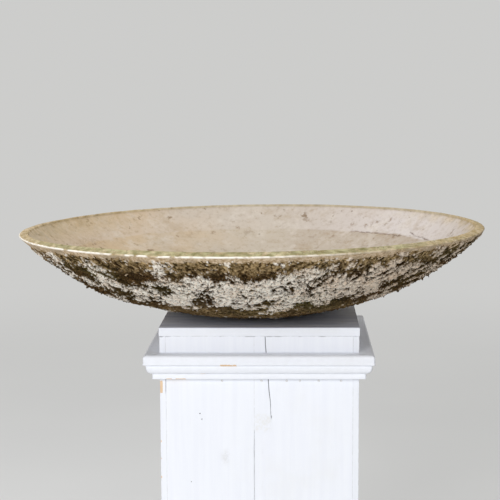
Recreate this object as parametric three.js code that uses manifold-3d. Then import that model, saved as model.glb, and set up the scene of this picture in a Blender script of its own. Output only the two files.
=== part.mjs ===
// A bird bath: a wide, shallow fibre-cement dish resting loose on a white-painted timber pedestal.
//
// Units are millimetres and +Z is up. The origin is on the floor, on the dish's own axis, and -Y is the
// front. The pedestal is a square box of planks nailed to four posts. Its middle is PEDESTAL_X to the
// right of the dish's axis, because the dish sits a little off centre on it.

import * as THREE from "three";
import { mergeVertices } from "three/addons/utils/BufferGeometryUtils.js";
import Module from "manifold-3d";

const wasm = await Module();
wasm.setup();

// Clearances between pieces that touch
const FIT_GAP = 0.3;
const JOINT_GAP = 0.4; // open joint between neighbouring planks

// Dish. Its wall follows two ellipses, and its heights are measured from its foot.
const DISH_RADIUS = 500;
const DISH_WALL_TOP = 182.5; // where the outside of the wall meets the lip
const DISH_ROUNDNESS = 605; // horizontal half axis of the ellipse that the outside follows
const FOOT_RADIUS = 75;
const WALL = 14;
const LIP_WIDTH = 20;
const LIP_EDGE = 184; // height of the lip's slope, carried out to its outer edge
const LIP_SLOPE = 0.27; // the lip's top rises inwards at this rate
const LIP_ROUND = 4;
const RIM_LEAN = 0.032; // the wall is this share taller at +X, and shorter at -X
const DISH_SEGMENTS = 72;
const OUTER_STEPS = 12;
const INNER_STEPS = 10;
const LIP_CURVE_STEPS = 2;

// Pedestal box
const PEDESTAL_X = 18.7;
const PEDESTAL_HEIGHT = 850;
const BOX = 410; // outside width and depth
const HALF = BOX / 2;
const PLANK = 12.5; // thickness of the box planks
const FRONT_JOINT = 194; // from the box's left edge to the joint between the front planks
const TOP_THICKNESS = 18;
const TOP_OVERHANG = 1;
const TOP_PLANKS = 3;
const TOP_CORNER = 4; // cut off each corner of the top board

// Inner frame
const POST = 32;
const BEARER_WIDTH = 45;
const BEARER_DEPTH = 28;
const RAIL_DEPTH = 20;
const RAIL_HEIGHT = 60;
const RAIL_TOP_DROP = 62; // below the top of the pedestal

// Cornice, measured out from the box
const LEDGE_DROP = 52; // from the top of the pedestal down to the cornice
const CAP_HEIGHT = 21.5;
const CAP_OUT = 31.6;
const CAP_ROUND = 7;
const CAP_FOOT_ROUND = 2;
const OVOLO_HEIGHT = 19;
const OVOLO_OUT = 26;
const OVOLO_FOOT_OUT = 15.5;
const FILLET_HEIGHT = 12.5;
const FILLET_OUT = 14;

// Foot of the pedestal
const SKIRT_HEIGHT = 105;
const SKIRT_OUT = 18;
const SKIRT_ROUND = 3;
const BEAD_HEIGHT = 20;
const BEAD_OUT = 14;
const BEAD_LIP = 5;

// Nails, with heads flush with the wood. Their places are measured from the middle of the box.
const NAIL_RADIUS = 1.3;
const NAIL_HEAD_RADIUS = 2.8;
const NAIL_HEAD_THICKNESS = 1.2;
const NAIL_LENGTH = 30;
const NAIL_POINT = 4;
const NAIL_SIDES = 10;
const FRONT_NAIL_XS = [-77, 4, 56, 83, 122, 168];
const FRONT_NAIL_DROP = 111; // below the top of the pedestal, just under the cornice
const TOP_NAIL_X = 172;

const FACES = ["front", "right", "back", "left"];

function finish(color, roughness, metalness = 0) {
  return new THREE.MeshStandardMaterial({ color, roughness, metalness });
}
const FIBRE_CEMENT = finish(0xb8a890, 0.95);
const WHITE_PAINT = finish(0xe9ebef, 0.55);
const BARE_PINE = finish(0xc49a62, 0.8);
const NAIL_STEEL = finish(0x6b625a, 0.5, 0.8);

function add(parent, name, geometry, material) {
  const mesh = new THREE.Mesh(geometry, material.clone());
  mesh.name = name;
  parent.add(mesh);
  return mesh;
}

// A box between two opposite corners, whichever of them is the lower.
function block(cornerA, cornerB) {
  const a = new THREE.Vector3(...cornerA);
  const b = new THREE.Vector3(...cornerB);
  const box = new THREE.Box3().setFromPoints([a, b]);
  const size = box.getSize(new THREE.Vector3());
  const centre = box.getCenter(new THREE.Vector3());
  return new THREE.BoxGeometry(size.x, size.y, size.z).translate(centre.x, centre.y, centre.z);
}

// ---- Solids, for the nail holes ----

function toSolid(geometry) {
  const bare = geometry.clone();
  bare.deleteAttribute("normal");
  bare.deleteAttribute("uv");
  const merged = mergeVertices(bare, 1e-4);
  return new wasm.Manifold(
    new wasm.Mesh({
      numProp: 3,
      vertProperties: merged.getAttribute("position").array,
      triVerts: new Uint32Array(merged.index.array),
    }),
  );
}

function toGeometry(solid) {
  const { vertProperties, triVerts } = solid.getMesh();
  const geometry = new THREE.BufferGeometry();
  geometry.setAttribute("position", new THREE.BufferAttribute(vertProperties, 3));
  geometry.setIndex(new THREE.BufferAttribute(triVerts, 1));
  geometry.computeVertexNormals();
  return geometry;
}

// ---- Dish ----

function dishProfile() {
  const below = (r, halfAxis) => Math.sqrt(1 - (r / halfAxis) ** 2);
  const reach = below(FOOT_RADIUS, DISH_ROUNDNESS) - below(DISH_RADIUS, DISH_ROUNDNESS);
  const halfDepth = DISH_WALL_TOP / reach;
  const centre = halfDepth * below(FOOT_RADIUS, DISH_ROUNDNESS);
  const outside = (r) => centre - halfDepth * below(r, DISH_ROUNDNESS);
  const inside = (r) => centre - (halfDepth - WALL) * below(r, DISH_ROUNDNESS - WALL);
  const lipTop = (r) => LIP_EDGE + LIP_SLOPE * (DISH_RADIUS - r);

  const profile = [new THREE.Vector2(0, 0), new THREE.Vector2(FOOT_RADIUS, 0)];
  for (let i = 1; i < OUTER_STEPS; i++) {
    const r = THREE.MathUtils.lerp(FOOT_RADIUS, DISH_RADIUS, i / OUTER_STEPS);
    profile.push(new THREE.Vector2(r, outside(r)));
  }

  const lipInside = DISH_RADIUS - LIP_WIDTH;
  const lip = new THREE.Path();
  lip.moveTo(DISH_RADIUS, DISH_WALL_TOP);
  const outerTurn = DISH_RADIUS - LIP_ROUND;
  lip.quadraticCurveTo(DISH_RADIUS, LIP_EDGE, outerTurn, lipTop(outerTurn));
  const innerTurn = lipInside + LIP_ROUND;
  lip.lineTo(innerTurn, lipTop(innerTurn));
  lip.quadraticCurveTo(lipInside, lipTop(lipInside), lipInside, lipTop(lipInside) - LIP_ROUND);
  profile.push(...lip.getPoints(LIP_CURVE_STEPS));

  for (let i = 0; i < INNER_STEPS; i++) {
    const r = lipInside * (1 - i / INNER_STEPS);
    profile.push(new THREE.Vector2(r, inside(r)));
  }
  profile.push(new THREE.Vector2(0, inside(0)));
  return profile;
}

function dishGeometry() {
  const geometry = new THREE.LatheGeometry(dishProfile(), DISH_SEGMENTS);
  geometry.rotateX(Math.PI / 2); // a lathe turns about Y
  const place = geometry.getAttribute("position");
  for (let i = 0; i < place.count; i++) {
    const stretch = 1 + (RIM_LEAN * place.getX(i)) / DISH_RADIUS;
    place.setZ(i, place.getZ(i) * stretch);
  }
  geometry.computeVertexNormals();
  return geometry;
}

const birdBath = new THREE.Group();
const dish = add(birdBath, "dish", dishGeometry(), FIBRE_CEMENT);
dish.position.z = PEDESTAL_HEIGHT + FIT_GAP;

const pedestal = new THREE.Group();
pedestal.position.x = PEDESTAL_X;
birdBath.add(pedestal);

// A group for each face of the pedestal, turned so that what it holds is made as for the front.
const faceGroups = FACES.map((face, quarter) => {
  const group = new THREE.Group();
  group.rotation.z = (quarter * Math.PI) / 2;
  pedestal.add(group);
  return group;
});

// ---- Nails ----

// A nail standing on its point with its head at zero. The extra makes it the hole for one.
function nailGeometry(extra) {
  const shank = NAIL_RADIUS + extra;
  const head = NAIL_HEAD_RADIUS + extra;
  const neck = -NAIL_HEAD_THICKNESS - extra;
  const profile = [
    new THREE.Vector2(0, -NAIL_LENGTH - extra),
    new THREE.Vector2(shank, NAIL_POINT - NAIL_LENGTH),
    new THREE.Vector2(shank, neck),
    new THREE.Vector2(head, neck),
    new THREE.Vector2(head, extra),
    new THREE.Vector2(0, extra),
  ];
  return new THREE.LatheGeometry(profile, NAIL_SIDES);
}

const topNailTurn = Math.PI / 2; // head up
const frontNailTurn = Math.PI; // head to the front
const topPlankDepth = (BOX + 2 * TOP_OVERHANG) / TOP_PLANKS;
const topFront = -HALF - TOP_OVERHANG;

const nails = FRONT_NAIL_XS.map((x, i) => ({
  name: `front_nail_${i + 1}`,
  turn: frontNailTurn,
  place: [x, -HALF, PEDESTAL_HEIGHT - FRONT_NAIL_DROP],
}));
for (let i = 0; i < TOP_PLANKS; i++) {
  const y = topFront + topPlankDepth * (i + 0.5);
  for (const [side, x] of [["left", -TOP_NAIL_X], ["right", TOP_NAIL_X]]) {
    nails.push({
      name: `top_nail_${side}_${i + 1}`,
      turn: topNailTurn,
      place: [x, y, PEDESTAL_HEIGHT],
    });
  }
}
for (const { name, turn, place } of nails) {
  const nail = add(pedestal, name, nailGeometry(0), NAIL_STEEL);
  nail.rotation.x = turn;
  nail.position.set(...place);
}

// The wood, with a hole wherever a nail goes into it.
function drilled(geometry) {
  geometry.computeBoundingBox();
  let wood = toSolid(geometry);
  for (const { turn, place } of nails) {
    const hole = nailGeometry(FIT_GAP).rotateX(turn).translate(...place);
    hole.computeBoundingBox();
    if (geometry.boundingBox.intersectsBox(hole.boundingBox)) {
      wood = wood.subtract(toSolid(hole));
    }
  }
  return toGeometry(wood);
}

// ---- Top board ----

function topPlank(index) {
  const x = HALF + TOP_OVERHANG;
  const isFront = index === 0;
  const isBack = index === TOP_PLANKS - 1;
  const front = topFront + topPlankDepth * index + (isFront ? 0 : JOINT_GAP / 2);
  const back = topFront + topPlankDepth * (index + 1) - (isBack ? 0 : JOINT_GAP / 2);
  const shape = new THREE.Shape();
  shape.moveTo(-x, isFront ? front + TOP_CORNER : front);
  if (isFront) shape.lineTo(-x + TOP_CORNER, front);
  if (isFront) shape.lineTo(x - TOP_CORNER, front);
  shape.lineTo(x, isFront ? front + TOP_CORNER : front);
  shape.lineTo(x, isBack ? back - TOP_CORNER : back);
  if (isBack) shape.lineTo(x - TOP_CORNER, back);
  if (isBack) shape.lineTo(-x + TOP_CORNER, back);
  shape.lineTo(-x, isBack ? back - TOP_CORNER : back);
  const plank = new THREE.ExtrudeGeometry(shape, { depth: TOP_THICKNESS, bevelEnabled: false });
  return plank.translate(0, 0, PEDESTAL_HEIGHT - TOP_THICKNESS);
}

["front", "middle", "back"].forEach((place, index) => {
  add(pedestal, `top_plank_${place}`, drilled(topPlank(index)), WHITE_PAINT);
});

// ---- Box planks. The front and back ones stand between the side ones, whose edges show. ----

const plankTop = PEDESTAL_HEIGHT - TOP_THICKNESS - FIT_GAP;

function addFacePlanks(face, faceY, joint) {
  const insideY = faceY - Math.sign(faceY) * PLANK;
  const edge = HALF - PLANK - FIT_GAP;
  const left = block([-edge, faceY, 0], [joint - JOINT_GAP / 2, insideY, plankTop]);
  const right = block([joint + JOINT_GAP / 2, faceY, 0], [edge, insideY, plankTop]);
  add(pedestal, `${face}_plank_left`, drilled(left), WHITE_PAINT);
  add(pedestal, `${face}_plank_right`, drilled(right), WHITE_PAINT);
}

function addSidePlanks(side, faceX) {
  const insideX = faceX - Math.sign(faceX) * PLANK;
  const front = block([faceX, -HALF, 0], [insideX, -JOINT_GAP / 2, plankTop]);
  const back = block([faceX, JOINT_GAP / 2, 0], [insideX, HALF, plankTop]);
  add(pedestal, `${side}_plank_front`, front, WHITE_PAINT);
  add(pedestal, `${side}_plank_back`, back, WHITE_PAINT);
}

addFacePlanks("front", -HALF, FRONT_JOINT - HALF);
addFacePlanks("back", HALF, HALF - FRONT_JOINT);
addSidePlanks("left", -HALF);
addSidePlanks("right", HALF);

// ---- Inner frame ----

const inside = HALF - PLANK - FIT_GAP; // half the clear width between the planks
const bearerTop = PEDESTAL_HEIGHT - TOP_THICKNESS - FIT_GAP;
const bearerFoot = bearerTop - BEARER_DEPTH;

for (const [end, sy] of [["front", -1], ["back", 1]]) {
  for (const [side, sx] of [["left", -1], ["right", 1]]) {
    const outer = [sx * inside, sy * inside, 0];
    const inner = [sx * (inside - POST), sy * (inside - POST), bearerFoot - FIT_GAP];
    add(pedestal, `post_${end}_${side}`, drilled(block(outer, inner)), BARE_PINE);
  }
}

const bearerX = inside - BEARER_WIDTH / 2;
for (const [place, x] of [["left", -bearerX], ["centre", 0], ["right", bearerX]]) {
  const low = [x - BEARER_WIDTH / 2, -inside, bearerFoot];
  const high = [x + BEARER_WIDTH / 2, inside, bearerTop];
  add(pedestal, `top_bearer_${place}`, drilled(block(low, high)), BARE_PINE);
}

const railTop = PEDESTAL_HEIGHT - RAIL_TOP_DROP;
FACES.forEach((face, quarter) => {
  const end = inside - POST - FIT_GAP;
  const low = [-end, -inside, railTop - RAIL_HEIGHT];
  const rail = block(low, [end, -inside + RAIL_DEPTH, railTop]);
  add(faceGroups[quarter], `rail_${face}`, face === "front" ? drilled(rail) : rail, BARE_PINE);
});

// ---- Mouldings, one length for each face, mitred at the corners ----

const ledge = PEDESTAL_HEIGHT - LEDGE_DROP;

// A profile's x is the distance out from the box, and its y is the height.
function mitred(profile) {
  const length = new THREE.ExtrudeGeometry(profile, {
    depth: 1,
    bevelEnabled: false,
    curveSegments: 5,
  });
  const place = length.getAttribute("position");
  for (let i = 0; i < place.count; i++) {
    const out = HALF + place.getX(i);
    const end = place.getZ(i) > 0.5 ? -1 : 1;
    place.setXYZ(i, end * (out - FIT_GAP), -out, place.getY(i));
  }
  length.computeVertexNormals();
  return length;
}

function addMouldings(name, profile) {
  FACES.forEach((face, quarter) => {
    add(faceGroups[quarter], `${name}_${face}`, mitred(profile), WHITE_PAINT);
  });
}

// Flat band with a rounded front, whose top is the ledge.
function capProfile() {
  const foot = ledge - CAP_HEIGHT + FIT_GAP;
  const shape = new THREE.Shape();
  shape.moveTo(FIT_GAP, foot);
  shape.lineTo(CAP_OUT - CAP_FOOT_ROUND, foot);
  shape.quadraticCurveTo(CAP_OUT, foot, CAP_OUT, foot + CAP_FOOT_ROUND);
  shape.lineTo(CAP_OUT, ledge - CAP_ROUND);
  shape.quadraticCurveTo(CAP_OUT, ledge, CAP_OUT - CAP_ROUND, ledge);
  shape.lineTo(FIT_GAP, ledge);
  return shape;
}

// Quarter-round that swells out towards the cap, with a square fillet under it.
function bedProfile() {
  const top = ledge - CAP_HEIGHT;
  const step = top - OVOLO_HEIGHT;
  const foot = step - FILLET_HEIGHT;
  const shape = new THREE.Shape();
  shape.moveTo(FIT_GAP, foot);
  shape.lineTo(FILLET_OUT, foot);
  shape.lineTo(FILLET_OUT, step);
  shape.lineTo(OVOLO_FOOT_OUT, step);
  shape.quadraticCurveTo(OVOLO_OUT, step, OVOLO_OUT, top - OVOLO_HEIGHT / 4);
  shape.lineTo(OVOLO_OUT, top);
  shape.lineTo(FIT_GAP, top);
  return shape;
}

function skirtingProfile() {
  const shape = new THREE.Shape();
  shape.moveTo(FIT_GAP, 0);
  shape.lineTo(SKIRT_OUT, 0);
  shape.lineTo(SKIRT_OUT, SKIRT_HEIGHT - SKIRT_ROUND);
  shape.quadraticCurveTo(SKIRT_OUT, SKIRT_HEIGHT, SKIRT_OUT - SKIRT_ROUND, SKIRT_HEIGHT);
  shape.lineTo(FIT_GAP, SKIRT_HEIGHT);
  return shape;
}

// Hollow-faced moulding that stands on the skirting.
function baseMouldingProfile() {
  const foot = SKIRT_HEIGHT + FIT_GAP;
  const shape = new THREE.Shape();
  shape.moveTo(FIT_GAP, foot);
  shape.lineTo(BEAD_OUT, foot);
  shape.lineTo(BEAD_OUT, foot + BEAD_LIP);
  shape.quadraticCurveTo(BEAD_LIP, foot + BEAD_LIP, BEAD_LIP, foot + BEAD_HEIGHT);
  shape.lineTo(FIT_GAP, foot + BEAD_HEIGHT);
  return shape;
}

addMouldings("cornice_cap", capProfile());
addMouldings("bed_moulding", bedProfile());
addMouldings("skirting", skirtingProfile());
addMouldings("base_moulding", baseMouldingProfile());

export default birdBath;
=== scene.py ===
"""The looks of a bird bath: a crusted fibre-cement dish on a white-painted timber pedestal.

Everything is in metres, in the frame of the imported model: Z up, the front at -Y, the dish's axis at
X = Y = 0. The dish is two pieces, the cement and the crust that has grown on it, with moss tufts. The
timber that shows is rebuilt board by board, with worn edges, chips and an open crack.
"""

import math

import bpy
import numpy as np
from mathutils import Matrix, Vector


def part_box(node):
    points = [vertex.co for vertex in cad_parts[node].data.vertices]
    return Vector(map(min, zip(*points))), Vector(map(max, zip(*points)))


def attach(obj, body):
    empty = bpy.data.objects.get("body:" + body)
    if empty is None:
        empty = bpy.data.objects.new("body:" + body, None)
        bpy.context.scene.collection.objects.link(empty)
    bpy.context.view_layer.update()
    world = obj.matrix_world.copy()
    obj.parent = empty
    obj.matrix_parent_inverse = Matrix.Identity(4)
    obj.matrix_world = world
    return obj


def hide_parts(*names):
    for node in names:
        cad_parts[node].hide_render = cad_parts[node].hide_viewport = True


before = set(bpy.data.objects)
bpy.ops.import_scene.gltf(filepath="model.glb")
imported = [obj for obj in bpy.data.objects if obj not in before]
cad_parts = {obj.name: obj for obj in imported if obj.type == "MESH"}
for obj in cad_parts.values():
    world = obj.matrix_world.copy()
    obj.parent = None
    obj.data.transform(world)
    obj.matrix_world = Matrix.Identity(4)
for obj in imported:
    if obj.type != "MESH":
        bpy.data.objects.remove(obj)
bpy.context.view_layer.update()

MM = 0.001
COARSE = 1.0

# ---------------------------------------------------------------- numbers and noise


def smooth(value, low, high):
    """0 below low and 1 above high, with a smooth step between. low may be the larger one."""
    t = np.clip((value - low) / (high - low), 0, 1)
    return t * t * (3 - 2 * t)


def mixed(a, b, amount):
    return a + (b - a) * amount


SHUFFLE = np.tile(np.random.default_rng(11).permutation(256), 2)
EDGES = np.array(
    [[x, y, 0] for x in (-1, 1) for y in (-1, 1)]
    + [[x, 0, z] for x in (-1, 1) for z in (-1, 1)]
    + [[0, y, z] for y in (-1, 1) for z in (-1, 1)]
    + [[1, 1, 0], [-1, 1, 0], [0, -1, 1], [0, -1, -1]],
    float,
)


def scramble(cell):
    """A number from 0 to 255 for each whole-numbered cell."""
    x, y, z = (cell[:, i] & 255 for i in range(3))
    return SHUFFLE[SHUFFLE[SHUFFLE[x] + y] + z]


def noise(points, size, seed=0):
    """Gradient noise, about -1 to 1, whose features are about size across."""
    p = points / size + seed * 19.37
    cell = np.floor(p).astype(np.int64)
    f = p - cell
    fade = f * f * f * (f * (f * 6 - 15) + 10)
    total = np.zeros(len(p))
    for corner in np.ndindex(2, 2, 2):
        slope = EDGES[scramble(cell + corner) & 15]
        weight = np.prod(np.where(corner, fade, 1 - fade), axis=1)
        total += weight * np.sum(slope * (f - corner), axis=1)
    return total * 1.4


def layered(points, size, layers, seed=0):
    """Noise with finer and finer noise on it."""
    total, reach = np.zeros(len(points)), 0.0
    for i in range(layers):
        total += noise(points, size / 2**i, seed + i) / 2**i
        reach += 1 / 2**i
    return total / reach * 1.5


def chips(points, size, seed=0):
    """Irregular cells about size across: how far inside its cell a point is, and the cell's own number."""
    p = points / size + seed * 7.13
    home = np.floor(p).astype(np.int64)
    nearest = np.full(len(p), 9.0)
    second = np.full(len(p), 9.0)
    owner = np.zeros(len(p), np.int64)
    for step in np.ndindex(3, 3, 3):
        cell = home + np.array(step) - 1
        code = scramble(cell)
        other = SHUFFLE[code + 37]
        third = SHUFFLE[other + 91]
        seat = cell + np.stack([code, other, third], axis=1) / 255.0
        away = np.linalg.norm(p - seat, axis=1)
        closer = away < nearest
        second = np.where(closer, nearest, np.minimum(second, away))
        owner = np.where(closer, other, owner)
        nearest = np.where(closer, away, nearest)
    return second - nearest, owner / 255.0


# ---------------------------------------------------------------- meshes


def make_piece(name, points, faces, material, body, node_names, values=None):
    """A smooth-shaded mesh from arrays of faces. values are numbers for each point, kept as attributes."""
    corners = np.concatenate([f.ravel() for f in faces])
    sizes = np.concatenate([np.full(len(f), f.shape[1]) for f in faces])
    mesh = bpy.data.meshes.new(name)
    mesh.vertices.add(len(points))
    mesh.vertices.foreach_set("co", np.asarray(points, np.float32).ravel())
    mesh.loops.add(len(corners))
    mesh.loops.foreach_set("vertex_index", corners.astype(np.int32))
    mesh.polygons.add(len(sizes))
    starts = np.concatenate([[0], np.cumsum(sizes)[:-1]])
    mesh.polygons.foreach_set("loop_start", starts.astype(np.int32))
    mesh.update(calc_edges=True)
    mesh.polygons.foreach_set("use_smooth", np.ones(len(sizes), bool))
    for key, numbers in (values or {}).items():
        layer = mesh.attributes.new(key, "FLOAT", "POINT")
        layer.data.foreach_set("value", np.asarray(numbers, np.float32))
    mesh.materials.append(material)
    piece = bpy.data.objects.new(name, mesh)
    bpy.context.scene.collection.objects.link(piece)
    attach(piece, body)
    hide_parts(*node_names)


def ring_faces(counts, closed=False):
    """Faces between rings of points. Each ring has as many points as its neighbour, or half or double."""
    starts = np.concatenate([[0], np.cumsum(counts)[:-1]])
    quads, triangles = [], []
    pairs = list(zip(range(len(counts) - 1), range(1, len(counts))))
    if closed:
        pairs.append((len(counts) - 1, 0))
    for a, b in pairs:
        n, m = counts[a], counts[b]
        i = np.arange(min(n, m))
        after = (i + 1) % min(n, m)
        if n == m:
            quads.append(np.stack([starts[a] + i, starts[b] + i, starts[b] + after, starts[a] + after], 1))
            continue
        few, many = (starts[a], starts[b]) if n < m else (starts[b], starts[a])
        left, middle, right = many + 2 * i, many + 2 * i + 1, many + (2 * i + 2) % (2 * len(i))
        new = [
            np.stack([few + i, left, middle], 1),
            np.stack([few + i, middle, few + after], 1),
            np.stack([few + after, middle, right], 1),
        ]
        triangles += new if n < m else [t[:, ::-1] for t in new]
    return quads, triangles


def ring_points(radii, counts):
    """For rings of the given radii: each point's radius, turn about the axis and ring number."""
    r = np.concatenate([np.full(n, radius) for radius, n in zip(radii, counts)])
    turn = np.concatenate([np.arange(n) * 2 * math.pi / n for n in counts])
    ring = np.concatenate([np.full(n, i) for i, n in enumerate(counts)])
    return r, turn, ring


# ---------------------------------------------------------------- where the pedestal is

plank_low, plank_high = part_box("front_plank_left")
top_low, top_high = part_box("top_plank_front")
BOX_FRONT = plank_low.y
BOX_HALF = -BOX_FRONT
PEDESTAL_X = (top_low.x + top_high.x) / 2
TOP_Z = top_high.z

# ---------------------------------------------------------------- materials


def paint_rgb(red, green, blue):
    """A colour given as screen values from 0 to 255, in Blender's linear numbers."""
    def linear(c):
        c /= 255
        return c / 12.92 if c <= 0.04045 else ((c + 0.055) / 1.055) ** 2.4
    return (linear(red), linear(green), linear(blue), 1.0)


class Look:
    """One material, built node by node. A value may be a number, a colour or a node's output."""

    def __init__(self, name):
        self.material = bpy.data.materials.new(name)
        self.material.use_nodes = True
        self.tree = self.material.node_tree
        self.tree.nodes.clear()
        self.place = self.node("ShaderNodeTexCoord").outputs["Object"]

    def node(self, kind, **settings):
        made = self.tree.nodes.new(kind)
        for key, value in settings.items():
            setattr(made, key, value)
        return made

    def feed(self, socket, value):
        if isinstance(value, bpy.types.NodeSocket):
            self.tree.links.new(value, socket)
        else:
            socket.default_value = value

    def math(self, operation, a, b=0.0):
        made = self.node("ShaderNodeMath", operation=operation)
        self.feed(made.inputs[0], a)
        self.feed(made.inputs[1], b)
        return made.outputs[0]

    def attribute(self, name):
        return self.node("ShaderNodeAttribute", attribute_name=name).outputs["Fac"]

    def axis(self, letter):
        made = self.node("ShaderNodeSeparateXYZ")
        self.feed(made.inputs[0], self.place)
        return made.outputs[letter]

    def stretched(self, scale, turn=0.0):
        made = self.node("ShaderNodeMapping")
        self.feed(made.inputs["Vector"], self.place)
        made.inputs["Scale"].default_value = scale
        made.inputs["Rotation"].default_value = (0.0, 0.0, turn)
        return made.outputs[0]

    def noise(self, size, detail=3.0, roughness=0.55, place=None, distortion=0.0):
        made = self.node("ShaderNodeTexNoise")
        self.feed(made.inputs["Vector"], place or self.place)
        made.inputs["Scale"].default_value = 1 / size
        made.inputs["Detail"].default_value = detail
        made.inputs["Roughness"].default_value = roughness
        made.inputs["Distortion"].default_value = distortion
        return made.outputs["Fac"]

    def spots(self, size):
        made = self.node("ShaderNodeTexVoronoi")
        self.feed(made.inputs["Vector"], self.place)
        made.inputs["Scale"].default_value = 1 / size
        return made.outputs["Distance"]

    def step(self, value, low, high, start=0.0, end=1.0):
        made = self.node("ShaderNodeMapRange", interpolation_type="SMOOTHSTEP")
        for i, number in enumerate((value, low, high, start, end)):
            self.feed(made.inputs[i], number)
        return made.outputs[0]

    def mix(self, amount, a, b):
        made = self.node("ShaderNodeMix", data_type="RGBA")
        self.feed(made.inputs[0], amount)
        self.feed(made.inputs[6], a)
        self.feed(made.inputs[7], b)
        return made.outputs[2]

    def over(self, below, amount, screen_colour, share=None):
        """A flat colour laid over what is below, where amount is high."""
        if share:
            amount = self.math("MULTIPLY", amount, share)
        return self.mix(amount, below, paint_rgb(*screen_colour))

    def ragged(self, name, size, detail, roughness, low, high):
        """An attribute, broken up by noise."""
        broken = self.step(self.noise(size, detail, roughness), low, high)
        return self.math("MULTIPLY", self.attribute(name), broken)

    def bump(self, height, depth, normal=None):
        made = self.node("ShaderNodeBump")
        made.inputs["Strength"].default_value = 1.0
        made.inputs["Distance"].default_value = depth
        self.feed(made.inputs["Height"], height)
        if normal:
            self.feed(made.inputs["Normal"], normal)
        return made.outputs[0]

    def surface(self, colour, roughness, normal=None, **constants):
        shader = self.node("ShaderNodeBsdfPrincipled")
        self.feed(shader.inputs["Base Color"], colour)
        self.feed(shader.inputs["Roughness"], roughness)
        if normal:
            self.feed(shader.inputs["Normal"], normal)
        for key, value in constants.items():
            shader.inputs[key.replace("_", " ")].default_value = value
        out = self.node("ShaderNodeOutputMaterial")
        self.feed(out.inputs["Surface"], shader.outputs[0])
        return self.material


def cement_look():
    """Old fibre cement: beige and stained inside, with algae on the lip, a worn white arris that is partly
    painted highlight, and a thin band of painted shadow on the lip at the far left.
    """
    look = Look("old_fibre_cement")
    across = look.axis("X")
    blotch = look.noise(0.13, 5, 0.6)
    cloud = look.math("ADD", across, look.math("MULTIPLY", look.math("SUBTRACT", blotch, 0.5), 0.55))
    colour = look.mix(look.step(cloud, -0.46, 0.02), paint_rgb(196, 173, 142), paint_rgb(185, 174, 159))
    colour = look.over(colour, look.step(cloud, -0.02, 0.30), (176, 163, 149))
    above = look.attribute("above_tide")
    colour = look.over(colour, above, (208, 201, 199), 0.78)
    tide = look.ragged("tide", 0.02, 4, 0.7, 0.42, 0.62)
    colour = look.over(colour, tide, (132, 110, 84), 0.40)
    mottle = look.noise(0.012, 6, 0.7)
    colour = look.over(colour, look.step(mottle, 0.48, 0.70, 0, 0.34), (144, 122, 94))
    colour = look.over(colour, look.step(look.noise(0.022, 6, 0.75), 0.54, 0.68, 0, 0.35), (158, 136, 108))
    colour = look.over(colour, look.step(look.noise(0.05, 5, 0.7), 0.48, 0.68, 0, 0.45), (208, 200, 190))
    colour = look.over(colour, look.step(look.noise(0.08, 5, 0.7), 0.52, 0.70, 0, 0.35), (160, 138, 108))
    stain = look.ragged("stain", 0.035, 6, 0.7, 0.58, 0.66)
    colour = look.over(colour, stain, (116, 92, 62), 0.75)
    speck = look.step(look.spots(0.028), 0.12, 0.06)
    speck = look.math("MULTIPLY", speck, look.step(look.noise(0.06), 0.53, 0.6))
    colour = look.over(colour, speck, (96, 76, 54), 0.6)
    marks = look.ragged("marks", 0.004, 5, 0.7, 0.38, 0.58)
    colour = look.over(colour, marks, (118, 88, 54), 0.75)
    sand = look.step(look.noise(0.006, 5, 0.7), 0.38, 0.62)
    wall = look.mix(sand, paint_rgb(164, 138, 104), paint_rgb(214, 194, 166))
    wall = look.over(wall, look.step(look.noise(0.05, 3), 0.5, 0.62, 0, 0.6), (150, 134, 112))
    colour = look.mix(look.attribute("outside"), colour, wall)
    blotch = look.noise(0.022, 6, 0.75)
    lip = look.mix(look.step(blotch, 0.40, 0.60), paint_rgb(158, 136, 92), paint_rgb(212, 192, 160))
    on_lip = look.attribute("lip")
    colour = look.mix(look.math("MULTIPLY", on_lip, 0.85), colour, lip)
    algae = look.ragged("algae", 0.014, 6, 0.75, 0.34, 0.54)
    tuft = look.step(look.noise(0.011, 6, 0.8), 0.38, 0.62)
    green = look.mix(tuft, paint_rgb(108, 106, 60), paint_rgb(194, 188, 148))
    colour = look.mix(look.math("MULTIPLY", algae, 0.88), colour, green)
    ochre = look.ragged("ochre", 0.016, 6, 0.75, 0.40, 0.60)
    colour = look.over(colour, ochre, (186, 158, 112), 0.70)
    gritty = look.noise(0.0055, 6, 0.8)
    dark_grit = look.math("MULTIPLY", on_lip, look.step(gritty, 0.50, 0.62, 0, 0.75))
    colour = look.over(colour, dark_grit, (92, 80, 42))
    pale_grit = look.math("MULTIPLY", on_lip, look.step(gritty, 0.46, 0.36, 0, 0.55))
    colour = look.over(colour, pale_grit, (224, 208, 174))
    # Painted shadow: a thin darker band on the far-left lip, just inside its outer edge.
    colour = look.over(colour, look.attribute("painted_shadow_band"), (116, 112, 106), 0.6)
    # Worn pale edge, partly painted highlight where the rounded rim edges catch the light.
    colour = look.over(colour, look.attribute("arris"), (246, 240, 230))
    colour = look.over(colour, look.attribute("crack"), (92, 70, 52), 0.75)
    grain = look.noise(0.0022, 6, 0.75)
    pores = look.step(look.spots(0.006), 0.0, 0.35)
    normal = look.bump(look.math("ADD", grain, look.math("MULTIPLY", pores, 0.3)), 0.0012)
    return look.surface(colour, look.step(mottle, 0.3, 0.7, 0.82, 0.97), normal, Specular_IOR_Level=0.25)


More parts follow.
